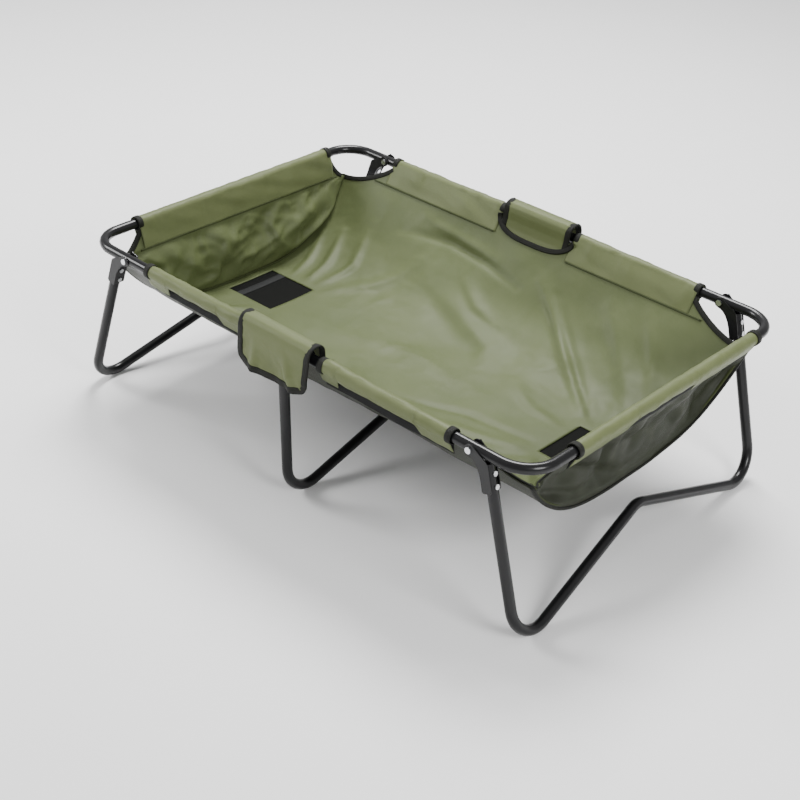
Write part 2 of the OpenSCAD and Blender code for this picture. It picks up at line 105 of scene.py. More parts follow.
SIDES = {-1: "near", 1: "far"}
ENDS = {-1: "left", 1: "right"}
BODY = {-1: "left_frame", 1: "right_frame"}

# %% [markdown]
# ## Noise and folds
# Slack coated cloth shows two things: long soft folds that run between the points which hold it, and small
# sharp crinkles left from being packed away. Folds are placed one by one. Crinkles are seeded noise, so
# they never change.

# %% Seeded noise and fold shapes
NOISE_TABLES = {}


def soft_noise(x, y, seed):
    """Smooth noise between -1 and 1, one wave per unit."""
    if seed not in NOISE_TABLES:
        NOISE_TABLES[seed] = np.random.RandomState(seed).uniform(-1, 1, (64, 64))
    table = NOISE_TABLES[seed]
    x, y = np.broadcast_arrays(np.asarray(x, float), np.asarray(y, float))
    i, j = np.floor(x).astype(int), np.floor(y).astype(int)
    u, v = x - i, y - j
    u, v = u * u * (3 - 2 * u), v * v * (3 - 2 * v)
    a, b = table[i % 64, j % 64], table[(i + 1) % 64, j % 64]
    c, d = table[i % 64, (j + 1) % 64], table[(i + 1) % 64, (j + 1) % 64]
    return (a * (1 - u) + b * u) * (1 - v) + (c * (1 - u) + d * u) * v


def crinkle(x, y, size, seed):
    """Sharp little ridges between flat facets, as packed nylon keeps them, between 0 and 1."""
    bend_x = x / size + 0.6 * soft_noise(x / size / 1.7, y / size / 1.7, seed + 1)
    bend_y = y / size + 0.6 * soft_noise(x / size / 1.9 + 9, y / size / 1.9, seed + 2)
    return 1 - np.abs(soft_noise(bend_x, bend_y, seed)) ** 0.8


def fold(x, y, points, height, width, skew):
    """A fold along a polyline. Its first side is the steeper one where skew is under 0.5."""
    best = np.full(np.broadcast(x, y).shape, 1e9)
    value = np.zeros_like(best)
    total = len(points) - 1
    for k, ((ax, ay), (bx, by)) in enumerate(zip(points, points[1:])):
        dx, dy = bx - ax, by - ay
        t = np.clip(((x - ax) * dx + (y - ay) * dy) / (dx * dx + dy * dy), 0, 1)
        off_x, off_y = x - ax - t * dx, y - ay - t * dy
        far = np.hypot(off_x, off_y)
        side = np.sign(off_x * dy - off_y * dx)
        reach = width * np.where(side > 0, 2 * skew, 2 * (1 - skew))
        along = (k + t) / total
        shape = height * np.exp(-(far / reach) ** 2) * np.sin(math.pi * np.clip(along, 0.04, 0.96)) ** 0.6
        value = np.where(far < best, shape, value)
        best = np.minimum(best, far)
    return value


def smooth(x, low, high):
    t = np.clip((x - low) / (high - low), 0, 1)
    return t * t * (3 - 2 * t)

# %% [markdown]
# ## The tub as a surface
# Cloth slung from two rails hangs in a curve that is flat in the middle and steep under the rails. A power
# curve gives that with one number. Liner, cover, nets and seams are all cut from this one surface, so they
# fit each other.

# %% Cross-section and its length
def section_z(y):
    return -TUB_DEPTH * (1 - np.minimum(np.abs(y) / TUB_W, 1) ** SECTION_POWER)


def section_y(z):
    return TUB_W * (1 + z / TUB_DEPTH) ** (1 / SECTION_POWER)


ARC_Y = np.linspace(0, TUB_W, 800)
ARC_S = np.concatenate([[0], np.cumsum(np.hypot(np.diff(ARC_Y), np.diff(section_z(ARC_Y))))])


def arc(y):
    """Length of cloth from the middle of the floor, signed as y."""
    return np.sign(y) * np.interp(np.abs(y), ARC_Y, ARC_S)


def arc_to_y(s):
    return np.sign(s) * np.interp(np.abs(s), ARC_S, ARC_Y)


print("cloth across the tub", round(2 * ARC_S[-1], 3))

# %% Folds of the tub
# Each fold: its points from above (along, across), then height, width and skew.
TUB_FOLDS = [
    ([(-0.17, 0.215), (-0.06, 0.180), (0.06, 0.135), (0.10, 0.060)], 0.0074, 0.026, 0.35),
    ([(-0.10, 0.245), (-0.03, 0.205), (0.03, 0.190)], 0.0047, 0.014, 0.3),
    ([(-0.29, 0.270), (-0.166, 0.283), (-0.07, 0.276), (0.02, 0.262)], -0.0061, 0.010, 0.4),
    ([(-0.25, 0.300), (-0.15, 0.293), (-0.05, 0.285)], 0.0041, 0.010, 0.5),
    ([(0.06, 0.285), (0.13, 0.245), (0.20, 0.190), (0.27, 0.135), (0.335, 0.080)], 0.0095, 0.015, 0.3),
    ([(0.11, 0.275), (0.19, 0.215), (0.27, 0.150), (0.345, 0.085)], -0.0068, 0.010, 0.6),
    ([(0.22, 0.290), (0.30, 0.225), (0.40, 0.120)], 0.0068, 0.020, 0.4),
    ([(0.30, 0.300), (0.36, 0.235), (0.43, 0.130)], 0.0047, 0.012, 0.5),
    ([(-0.34, 0.085), (-0.33, 0.170), (-0.36, 0.245)], 0.0061, 0.010, 0.4),
    ([(-0.37, 0.070), (-0.385, 0.150), (-0.42, 0.230)], 0.0068, 0.009, 0.5),
    ([(-0.41, 0.070), (-0.43, 0.140), (-0.46, 0.210)], 0.0054, 0.008, 0.5),
    ([(-0.325, 0.060), (-0.25, 0.150), (-0.20, 0.235)], 0.0054, 0.016, 0.4),
    ([(0.10, -0.200), (0.20, -0.120), (0.33, -0.070)], 0.0054, 0.014, 0.4),
    ([(0.05, -0.120), (0.18, -0.060), (0.33, -0.045)], -0.0041, 0.010, 0.5),
    ([(0.16, -0.220), (0.27, -0.150), (0.34, -0.080)], -0.0041, 0.010, 0.5),
    ([(-0.33, -0.070), (-0.20, -0.130), (-0.08, -0.220)], 0.0054, 0.018, 0.4),
    ([(-0.10, -0.060), (-0.02, -0.140), (0.02, -0.240)], 0.0047, 0.014, 0.4),
    ([(-0.16, -0.020), (-0.02, 0.020), (0.12, 0.000)], 0.0041, 0.022, 0.4),
    ([(0.16, 0.080), (0.24, 0.040), (0.32, 0.030)], 0.0041, 0.012, 0.4),
    ([(0.34, -0.085), (0.38, -0.150), (0.44, -0.230)], 0.0061, 0.010, 0.5),
    ([(0.40, -0.075), (0.44, -0.140), (0.47, -0.200)], 0.0054, 0.009, 0.5),
    ([(-0.36, -0.080), (-0.40, -0.160), (-0.45, -0.230)], 0.0061, 0.010, 0.5),
]


def tub_lift(x, y):
    """How far the cloth stands in from the plain curve, along its normal."""
    s = arc(y)
    lift = np.zeros(np.broadcast(x, s).shape)
    for points, height, width, skew in TUB_FOLDS:
        path = [(px, float(arc(py))) for px, py in points]
        lift = lift + fold(x, s, path, height, width, skew)
    lift = lift + 0.0045 * soft_noise(x / 0.16 + 3, s / 0.12, 11)
    lift = lift + 0.0020 * soft_noise(x / 0.06, s / 0.05 + 5, 12)
    patch = smooth(soft_noise(x / 0.20, s / 0.15, 15), -0.4, 0.6)
    lift = lift + 0.0026 * (crinkle(x, s, 0.055, 13) - 0.6) * patch
    lift = lift + 0.0011 * (crinkle(x, s, 0.022, 14) - 0.6) * patch
    hem_half = 0.062
    window = np.maximum(np.abs(np.abs(x) - NET_MIDDLE) - hem_half, np.abs(y) - hem_half)
    calm = 0.25 + 0.75 * smooth(window, 0.0, 0.035)
    held = smooth(TUB_W - np.abs(y), 0.016, 0.045) * smooth(TUB_L - END_LEAN - np.abs(x), -0.020, 0.030)
    return lift * calm * held


def tub_point(x, y, out=0.0):
    """Points of the tub's surface; out is a distance towards the inside of the tub."""
    x, y = np.broadcast_arrays(np.asarray(x, float), np.asarray(y, float))
    z = section_z(y)
    slope = np.sign(y) * TUB_DEPTH * SECTION_POWER * (np.abs(y) / TUB_W) ** (SECTION_POWER - 1) / TUB_W
    size = np.hypot(1, slope)
    lift = tub_lift(x, y) + out
    return np.stack([x, y - slope / size * lift, RAIL_Z + z + lift / size], -1)


def end_x(z):
    return TUB_L + END_LEAN * z / TUB_DEPTH


def corner_y():
    return section_y(-CORNER_DIP)


def corner_dip(place, start, stop):
    """Upper edge near a corner: it falls from a sleeve's end to the corner itself."""
    share = np.clip((np.abs(place) - start) / (stop - start), 0, 1)
    return TOP_EDGE_Z - (CORNER_DIP + TOP_EDGE_Z) * np.sin(share * math.pi / 2) ** 0.8


def top_z(x, side):
    """Upper edge of a side wall, along the bed: it dips at the corners and at the middle cut-out."""
    x = np.asarray(x, float)
    dip = corner_dip(x, np.where(x < 0, LONG_SLEEVE[-1, side], LONG_SLEEVE[1, side]), end_x(-CORNER_DIP))
    middle = np.clip(np.abs(x) / CUT_OUT_HALF, 0, 1)
    return np.minimum(dip, TOP_EDGE_Z - (CUT_OUT_DEEP + TOP_EDGE_Z) * (1 - middle ** 3.2) ** 0.6)


def wall_edge(x, z, side, out):
    """A point of a side wall at a height, and a short vector down the wall from it."""
    point = tub_point(x, side * float(section_y(z)), out)
    return point, tub_point(x, side * float(section_y(z - 0.006)), out) - point


def end_top_z(y):
    """Upper edge of an end panel, across the bed."""
    y = np.asarray(y, float)
    return corner_dip(y, np.where(y < 0, SHORT_SLEEVE[-1], SHORT_SLEEVE[1]), corner_y())

# %% [markdown]
# ## Sheets from grids
# A sheet is a grid of points with a thickness. Its texture coordinates are metres along the cloth, so one
# weave fits every piece at its true scale. The rim is closed, which keeps each piece a real solid.

# %% Grid and mesh helpers
def put(obj_name, mesh):
    obj = bpy.data.objects.new(obj_name, mesh)
    bpy.context.scene.collection.objects.link(obj)
    return obj


def solid_mesh(name, verts, faces, uvs=()):
    """A mesh without unused points, its faces turned outward, its shading smooth and its uvs in metres."""
    mesh = bpy.data.meshes.new(name)
    mesh.from_pydata([tuple(p) for p in verts], [], faces)
    layer = mesh.uv_layers.new(name="metres")
    if uvs:
        layer.data.foreach_set("uv", [c for pair in uvs for c in pair])
    work = bmesh.new()
    work.from_mesh(mesh)
    bmesh.ops.delete(work, geom=[v for v in work.verts if not v.link_faces], context="VERTS")
    bmesh.ops.recalc_face_normals(work, faces=work.faces)
    for face in work.faces:
        face.smooth = True
    work.to_mesh(mesh)
    work.free()
    mesh.validate()
    return mesh


def sheet(name, points, thick=CLOTH_THICK, keep=None):
    """A closed sheet over a grid of points. keep says which cells of the grid are cloth."""
    points = np.asarray(points, float)
    rows, cols = points.shape[:2]
    down, along = np.gradient(points, axis=0), np.gradient(points, axis=1)
    normal = np.cross(down, along)
    normal /= np.maximum(np.linalg.norm(normal, axis=2, keepdims=True), 1e-9)
    cells = [(r, c) for r in range(rows - 1) for c in range(cols - 1) if keep is None or keep(r, c)]
    used = set(cells)
    steps = np.linalg.norm(np.diff(points, axis=1), axis=2).mean(0)
    rises = np.linalg.norm(np.diff(points, axis=0), axis=2).mean(1)
    u, v = np.concatenate([[0], np.cumsum(steps)]), np.concatenate([[0], np.cumsum(rises)])
    shift = 0.5 * thick
    top, low = points + normal * shift, points - normal * shift
    verts = np.concatenate([top.reshape(-1, 3), low.reshape(-1, 3)])
    size = rows * cols
    faces, uvs = [], []

    def coord(i):
        i %= size
        return (u[i % cols], v[i // cols])

    def add(*ids):
        faces.append(ids)
        uvs.extend(coord(i) for i in ids)

    for r, c in cells:
        a, b, d, e = r * cols + c, r * cols + c + 1, (r + 1) * cols + c + 1, (r + 1) * cols + c
        add(a, e, d, b)
        add(a + size, b + size, d + size, e + size)
        if (r - 1, c) not in used:
            add(a, b, b + size, a + size)
        if (r + 1, c) not in used:
            add(d, e, e + size, d + size)
        if (r, c - 1) not in used:
            add(e, a, a + size, e + size)
        if (r, c + 1) not in used:
            add(b, d, d + size, b + size)
    obj = put(name, solid_mesh(name, verts, faces, uvs))
    print(name, len(obj.data.polygons), "faces")
    return obj


def spaced(marks, step):
    """Places that hit every mark, with even steps of about the given size between them."""
    made = [marks[0]]
    for low, high in zip(marks, marks[1:]):
        count = max(1, round((high - low) / step))
        made += [low + (high - low) * (k + 1) / count for k in range(count)]
    return np.array(made)

# %% [markdown]
# ## Shader maths as Python
# Materials read best as sums. `Wire` wraps one output socket and overloads the operators, so `1 - mask *
# 0.5` adds the Math nodes by itself. `Finish.node` makes every other kind of node: its settings first, then
# its inputs.

# %% Wire and Finish
class Wire:
    def __init__(self, finish, socket):
        self.finish, self.socket = finish, socket

    def math(self, operation, *values):
        """One Math node."""
        return self.finish.node("ShaderNodeMath", {"operation": operation}, *values)

    def __add__(self, other):
        return self.math("ADD", self, other)

    def __radd__(self, other):
        return self.math("ADD", other, self)

    def __sub__(self, other):
        return self.math("SUBTRACT", self, other)

    def __rsub__(self, other):
        return self.math("SUBTRACT", other, self)

    def __mul__(self, other):
        return self.math("MULTIPLY", self, other)

    def __rmul__(self, other):
        return self.math("MULTIPLY", other, self)

    def __pow__(self, other):
        return self.math("POWER", self, other)

    def sine(self):
        return self.math("SINE", self)

    def absolute(self):
        return self.math("ABSOLUTE", self)


class Finish:
    """One material, its Principled shader and the nodes behind it."""

    def __init__(self, name, **constants):
        self.material = bpy.data.materials.new(name)
        self.material.use_nodes = True
        self.nodes, self.links = self.material.node_tree.nodes, self.material.node_tree.links
        self.shader = self.nodes["Principled BSDF"]
        for socket, value in constants.items():
            self.shader.inputs[socket.replace("_", " ")].default_value = value

    def node(self, kind, settings=None, *values, output=0, **named):
        made = self.nodes.new(kind)
        for key, value in (settings or {}).items():
            setattr(made, key, value)
        for place, value in enumerate(values):
            self.feed(made.inputs[place], value)
        for socket, value in named.items():
            self.feed(made.inputs[socket.replace("_", " ")], value)
        return Wire(self, made.outputs[output])

    def feed(self, socket, value):
        if isinstance(value, Wire):
            self.links.new(value.socket, socket)
        elif value is not None:
            socket.default_value = value

    def mix(self, factor, first, second):
        """A colour between two colours."""
        kind = {"data_type": "RGBA", "clamp_factor": True}
        return self.node("ShaderNodeMix", kind, factor, None, None, None, None, None, first, second, output=2)

    def set(self, **wires):
        """Feeds the shader's own sockets."""
        for socket, value in wires.items():
            self.feed(self.shader.inputs[socket.replace("_", " ")], value)
        return self

    def bump(self, height, distance, strength=1.0, under=None):
        sizes = {"Strength": strength, "Distance": distance}
        return self.node("ShaderNodeBump", {}, Height=height, Normal=under, **sizes)


def colour(red, green, blue):
    """An sRGB colour, 0 to 255, as the linear colour that shaders use."""
    linear = [((c / 255 + 0.055) / 1.055) ** 2.4 if c > 10 else c / 255 / 12.92 for c in (red, green, blue)]
    return (*linear, 1)


def metres(finish):
    """A piece's texture coordinates in metres: the whole vector, then its two parts."""
    place = finish.node("ShaderNodeUVMap", {"uv_map": "metres"})
    along = finish.node("ShaderNodeSeparateXYZ", {}, place)
    return place, along, Wire(finish, along.socket.node.outputs[1])


def scaled(dye, factor):
    return (*[c * factor for c in dye[:3]], 1)

# %% [markdown]
# ## Coated nylon
# The tub is oxford-woven nylon with a coating: the weave is fine, the shine is broad, and creases catch the
# light. The weave is two sine waves in the cloth's own metres. Creases are noise ridges that feed the bump
# and lighten the dye, which is a painted highlight on the crease ridges.

# %% Cloth finishes
WEAVE_PITCH = 0.0011
WEAVE_DEPTH, CREASE_DEPTH = 0.00010, 0.0016
# Pale olive that the crease ridges are lightened towards: a painted highlight.
CREASE_HIGHLIGHT = (0.30, 0.33, 0.22, 1)


def cloth(name, dye, shade, rough, shine=0.06):
    made = Finish(name, Coat_Roughness=0.32, Specular_IOR_Level=0.22, Coat_Weight=shine)
    place, u, v = metres(made)
    turn = 2 * math.pi / WEAVE_PITCH
    threads = (u * turn).sine() * (v * turn).sine()
    clouds = made.node("ShaderNodeTexNoise", {}, place, Scale=9.0, Detail=3.0, Roughness=0.55)
    ridged = {"noise_type": "RIDGED_MULTIFRACTAL"}
    creases = made.node("ShaderNodeTexNoise", ridged, place, Scale=26.0, Detail=4.0)
    rub = made.node("ShaderNodeTexNoise", {}, place, Scale=140.0, Detail=4.0, Roughness=0.6)
    tone = clouds * 0.7 + rub * 0.3
    base = made.mix(tone, shade, dye)
    # Crease ridges are lightened in the base colour: a painted highlight on the creases.
    crease_highlighted = made.mix(creases * 0.06, base, CREASE_HIGHLIGHT)
    creased = made.bump(creases, CREASE_DEPTH, 0.35)
    made.set(Base_Color=crease_highlighted, Roughness=rough - 0.10 + clouds * 0.14 + rub * 0.06)
    return made.set(Normal=made.bump(threads, WEAVE_DEPTH, 0.6, under=creased)).material


LINER = cloth("olive_liner_cloth", colour(91, 99, 64), colour(72, 81, 47), 0.52)
# The sleeves and flaps use the liner's cloth painted lighter: painted light on the cloth over the rails.
SLEEVE_CLOTH_LIT = cloth("olive_sleeve_cloth_painted_light", colour(101, 108, 72), colour(84, 92, 56), 0.50)
# The seam cloth is the olive painted darker: painted shade in the seams' grooves.
SEAM_CLOTH_SHADED = cloth("olive_seam_cloth_painted_shade", colour(60, 67, 36), colour(46, 53, 27), 0.7, shine=0.0)
# The cover is the same olive cloth painted almost black: painted shade on the tub's outside and underside.
COVER_CLOTH_SHADED = cloth("cover_cloth_painted_shade", colour(38, 42, 25), colour(25, 29, 16), 0.5, shine=0.04)

# %% [markdown]
# ## Bindings, webbing, net and thread
# Edge binding is ribbed tape, so its bump is one fine wave along the tape. The drain net is a dark mesh: a
# mask with small holes cuts the sheet through its alpha. Hook-and-loop pile is noise so fine that it only
# kills the shine.

# %% Trim finishes
NET_PITCH = 0.0032


def ribbed(name, dye, pitch, rough, depth=0.0003):
    made = Finish(name, Specular_IOR_Level=0.2)
    place, along, across = metres(made)
    turn = 2 * math.pi / pitch
    ribs = (along * turn).sine() * 0.5 + (across * turn).sine() * 0.5
    fuzz = made.node("ShaderNodeTexNoise", {}, place, Scale=300.0, Detail=4.0)
    made.set(Base_Color=made.mix(fuzz, scaled(dye, 0.6), dye), Roughness=rough + fuzz * 0.15)
    return made.set(Normal=made.bump(ribs + fuzz * 0.4, depth, 0.7)).material


def net_finish(name):
    made = Finish(name, Specular_IOR_Level=0.1)
    along, across = metres(made)[1:]
    turn = 2 * math.pi / NET_PITCH
    web = (along * turn).sine().absolute() * (across * turn).sine().absolute()
    hole = web.math("GREATER_THAN", web, 0.90)
    made.set(Base_Color=made.mix(web, colour(16, 17, 15), colour(8, 8, 7)), Roughness=0.75 - hole * 0.1)
    return made.set(Alpha=1 - hole, Normal=made.bump(1 - web, 0.0005, 0.6)).material


BINDING = ribbed("black_binding_tape", colour(26, 27, 22), 0.0014, 0.55)
WEBBING = ribbed("black_webbing", colour(34, 35, 35), 0.0022, 0.6)
PILE = ribbed("hook_and_loop_pile", colour(24, 25, 25), 0.0012, 0.72)
NET = net_finish("drain_net")
THREAD = ribbed("sewing_thread", colour(50, 54, 38), 0.0006, 0.5, 0.0001)

# %% [markdown]
# ## Enamel and bright metal
# Powder coat is a plastic skin on steel: black, glossy enough for crisp highlights, and very slightly
# uneven like orange peel. Rivets and bolt heads are zinc: metallic, with turning marks and a little grime.

# %% Metal finishes
def enamel(name, dye, rough, peel=0.00006):
    made = Finish(name, Coat_Roughness=0.08, Coat_Weight=0.22, Specular_IOR_Level=0.2)
    place = made.node("ShaderNodeTexCoord", output=3)
    skin = made.node("ShaderNodeTexNoise", {}, place, Scale=420.0, Detail=2.0)
    dust = made.node("ShaderNodeTexNoise", {}, place, Scale=24.0, Detail=5.0, Roughness=0.65)
    made.set(Base_Color=made.mix(dust ** 3, dye, scaled(dye, 2.2)), Roughness=rough + dust * 0.12)
    return made.set(Normal=made.bump(skin, peel, 0.5)).material


def zinc(name, tint, rough):
    made = Finish(name, Metallic=1.0)
    place = made.node("ShaderNodeTexCoord", output=3)
    marks = made.node("ShaderNodeTexNoise", {}, place, Scale=900.0, Detail=3.0)
    grime = made.node("ShaderNodeTexNoise", {}, place, Scale=160.0, Detail=4.0)
    made.set(Base_Color=made.mix(grime ** 2, tint, scaled(tint, 0.55)), Roughness=rough + grime * 0.2)
    return made.set(Normal=made.bump(marks, 0.00003, 0.5)).material


TUBE_BLACK = enamel("black_powder_coat", (0.006, 0.006, 0.0065, 1), 0.24)
PRESSED_BLACK = enamel("pressed_black_coat", (0.008, 0.008, 0.0085, 1), 0.32, 0.0001)
NUT_BLACK = enamel("black_plated_nut", (0.018, 0.018, 0.019, 1), 0.22)
NYLON = enamel("black_nylon", (0.02, 0.02, 0.02, 1), 0.5)
ZINC = zinc("bright_zinc", (0.80, 0.81, 0.83, 1), 0.18)

NODE_FINISH = {
    "frame_tube": TUBE_BLACK, "leg_frame": TUBE_BLACK,
    "leg_brackets": PRESSED_BLACK, "hinge_plates": PRESSED_BLACK, "hinge_saddles": PRESSED_BLACK,
    "dome_nuts": NUT_BLACK, "tube_end_plugs": NYLON, "middle_leg_washers": NYLON,
}
for node_name, node_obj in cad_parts.items():
    finish = next((m for key, m in NODE_FINISH.items() if node_name.startswith(key)), ZINC)
    node_obj.data.materials.clear()
    node_obj.data.materials.append(finish)
print("CAD nodes finished", len(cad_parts))

# %% [markdown]
# ## Tub liner
# The liner runs in one piece from near rail to far rail and from end to end, so it also crosses the fold
# joint. It is one grid whose lines hit the edges of the drain windows, and the cells inside the windows are
# left out.

# %% Make the liner and the cover
def tub_grid(step, out):
    """Points of the whole tub, with the row and column places."""
    marks = [-1.0, -NET_X[1], -NET_X[0], -CUT_OUT_HALF, CUT_OUT_HALF, NET_X[0], NET_X[1], 1.0]
    inner = spaced(marks[1:-1], step)
    tail = max(1, round((TUB_L - NET_X[1]) / step))
    share = np.arange(1, tail + 1) / tail
    net_s, full = float(arc(NET_HALF)), ARC_S[-1]
    s_rows = spaced([-1.0, -net_s / full, net_s / full, 1.0], step / full)
    columns = np.concatenate([-1 - share[::-1], inner, 1 + share])
    grid = np.zeros((len(s_rows), len(columns), 3))
    for c, place in enumerate(columns):
        edge = min(abs(place) - 1, 1) if abs(place) > 1 else 0
        guess = place if abs(place) <= 1 else math.copysign(NET_X[1] + edge * (TUB_L - NET_X[1]), place)
        side_top = [float(arc(section_y(top_z(guess, side)))) for side in (-1, 1)]
        s = np.where(np.abs(s_rows) * full <= net_s, s_rows * full, 0)
        for k, side in enumerate((-1, 1)):
            beyond = side * s_rows * full > net_s
            part = (np.abs(s_rows) * full - net_s) / (full - net_s)
            s = np.where(beyond, side * (net_s + part * (side_top[k] - net_s)), s)
        y = arc_to_y(s)
        x = np.full_like(y, guess)
        if edge:
            x = math.copysign(1, place) * (NET_X[1] + edge * (end_x(section_z(y)) - NET_X[1]))
        grid[:, c] = tub_point(x, y, out)
    return grid, columns, s_rows * full


def outside_windows(columns, rows):
    centre_x = (columns[:-1] + columns[1:]) / 2
    centre_s = (rows[:-1] + rows[1:]) / 2

    def keep(r, c):
        in_x = NET_X[0] < abs(centre_x[c]) < NET_X[1]
        return not (in_x and abs(centre_s[r]) < float(arc(NET_HALF)))
    return keep


def painted(obj, material):
    obj.data.materials.append(material)
    return obj


grid, columns, rows = tub_grid(0.0052, 0.0)
tub_liner = painted(sheet("tub_liner", grid, keep=outside_windows(columns, rows)), LINER)
grid, columns, rows = tub_grid(0.008, -COVER_GAP)
# The cover's dark colour is painted shade on the outside of the tub.
tub_cover = painted(sheet("tub_cover", grid, keep=outside_windows(columns, rows)), COVER_CLOTH_SHADED)
LINER_PARTS = ("floor", "near_side", "far_side")
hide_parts(*[f"liner_{part}_{end}" for part in LINER_PARTS for end in ENDS.values()])
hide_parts("outer_cover_left", "outer_cover_right")

# %% [markdown]
# ## End panels
# Each end is a separate panel, sewn into the curve of the tub. It is slack, so it bellies into the tub low
# down and keeps sharp crinkles. A second layer lies outside it, painted darker as shade.

# %% Make the end panels
END_BELLY = 0.024
# Each fold: its points on the left end (towards far, up), then height, width and skew.
END_FOLDS = [
    ([(-0.26, -0.050), (-0.21, -0.085), (-0.20, -0.120)], 0.0096, 0.012, 0.3),
    ([(-0.22, -0.052), (-0.13, -0.110), (-0.10, -0.150)], 0.0080, 0.016, 0.35),
    ([(0.27, -0.060), (0.16, -0.095), (0.05, -0.150)], 0.0144, 0.018, 0.3),
    ([(0.29, -0.085), (0.22, -0.120), (0.12, -0.160)], 0.0112, 0.010, 0.3),
    ([(0.12, -0.050), (0.08, -0.090), (0.09, -0.130)], 0.0096, 0.012, 0.4),
    ([(0.00, -0.052), (-0.03, -0.090), (0.01, -0.140)], 0.0080, 0.014, 0.4),
    ([(-0.10, -0.052), (-0.05, -0.080), (-0.06, -0.120)], 0.0064, 0.010, 0.4),
    ([(0.20, -0.052), (0.17, -0.075), (0.19, -0.100)], 0.0064, 0.009, 0.4),
    ([(-0.30, -0.080), (-0.24, -0.120), (-0.18, -0.160)], 0.0096, 0.014, 0.4),
]


def end_point(end, y, z, out=0.0):
    """Points of an end panel; out is a distance towards the inside of the tub."""
    y, z = np.broadcast_arrays(np.asarray(y, float), np.asarray(z, float))
    low = section_z(y)
    rise = np.clip((z - low) / np.maximum(END_SEAM_Z - low, 1e-4), 0, 1)
    belly = END_BELLY * 2.2 * rise ** 0.7 * (1 - rise) ** 1.5 * smooth(corner_y() - np.abs(y), 0.0, 0.05)
    lift = np.zeros_like(y)
    for points, height, width, skew in END_FOLDS:
        path = [(end * -py, pz) for py, pz in points]
        lift = lift + fold(y, z, path, height, width, skew if end < 0 else 1 - skew)
    seed = 40 if end < 0 else 60
    lift = lift + 0.0060 * soft_noise(y / 0.07, z / 0.05, seed)
    lift = lift + 0.0130 * (crinkle(y, z * 1.3, 0.062, seed + 3) - 0.6)
    lift = lift + 0.0048 * (crinkle(y, z * 1.2, 0.027, seed + 6) - 0.6)
    free = smooth(rise, 0.0, 0.25) * smooth(1 - rise, 0.0, 0.15)
    # Above the seam the panel lies just behind the sleeve.
    above = np.clip(1 - z / END_SEAM_Z, 0, 1)
    seam_in = HALF_L - end_x(END_SEAM_Z)
    band = seam_in + (SLEEVE_R - seam_in) * above - 0.0028 * smooth(above, 0.0, 0.4) - (HALF_L - end_x(z))
    inward = belly + lift * free + band * (above > 0) + out
    return np.stack([end * (end_x(z) - inward), y, RAIL_Z + z], -1)


def end_grid(end, step, out):
    across = spaced([-corner_y(), -SHORT_SLEEVE[-1], SHORT_SLEEVE[1], corner_y()], step)
    up = np.linspace(0, 1, round(TUB_DEPTH / step))[:, None]
    low, high = section_z(across) + 0.001, end_top_z(across)
    return end_point(end, across[None, :], low + (high - low) * up, out)


END_SHEETS = {}
for end, end_name in ENDS.items():
    panel = painted(sheet(f"end_panel_{end_name}", end_grid(end, 0.0046, 0.0)), LINER)
    # The outer layer's dark colour is painted shade on the outside of the end.
    outer = painted(sheet(f"end_cover_{end_name}", end_grid(end, 0.008, -0.0026)), COVER_CLOTH_SHADED)
    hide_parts(f"liner_end_{end_name}")
    END_SHEETS[end] = (panel, outer)

# %% [markdown]
# ## Sleeves over the rails
# Each sleeve is a strip of cloth: sewn to the tub inside, over the rail, and down the outside as a tail
# that is pressed on to a hook strip. Where the tail is cut short, the strip shows. A sleeve is drawn in its
# rail's own terms: along it, inward from it, and up.

# %% Rail coordinates
def on_rail(kind, side):
    """Turns (along, inward, up) from a rail's centreline into a point."""
    if kind == "long":
        return lambda a, n, z: (a, side * (HALF_W - n), RAIL_Z + z)
    return lambda a, n, z: (side * (HALF_L - n), a, RAIL_Z + z)


def tangent_angle(seam_in, seam_z):
    """Where a straight band from the seam meets the sleeve's round top."""
    far = math.hypot(seam_in, seam_z)
    return math.atan2(seam_z, seam_in) + math.acos(SLEEVE_R / far)


def outer_path(start, share):
    """Points (inward, up) over the rail and down its outside, for each station's share of the whole way."""
    stop = math.radians(232)
    turn = SLEEVE_R * (stop - start)
    low_n, low_z = SLEEVE_R * math.cos(stop), SLEEVE_R * math.sin(stop)
    drop = math.hypot(TAIL_IN - low_n, TAIL_Z - low_z)
    way = (turn + drop) * share[None, :] * np.linspace(0, 1, TURN_ROWS)[:, None]
    angle, t = start + np.minimum(way, turn) / SLEEVE_R, np.clip((way - turn) / drop, 0, 1)
    n = SLEEVE_R * np.cos(angle) + (TAIL_IN - low_n) * t
    return n, SLEEVE_R * np.sin(angle) + (TAIL_Z - low_z) * t


WINDOW_SHARE = 0.66    # where a tail is cut short, this much of its way is left
WINDOW_SLOPE = 0.0035
TURN_ROWS, BAND_ROWS = 33, 14


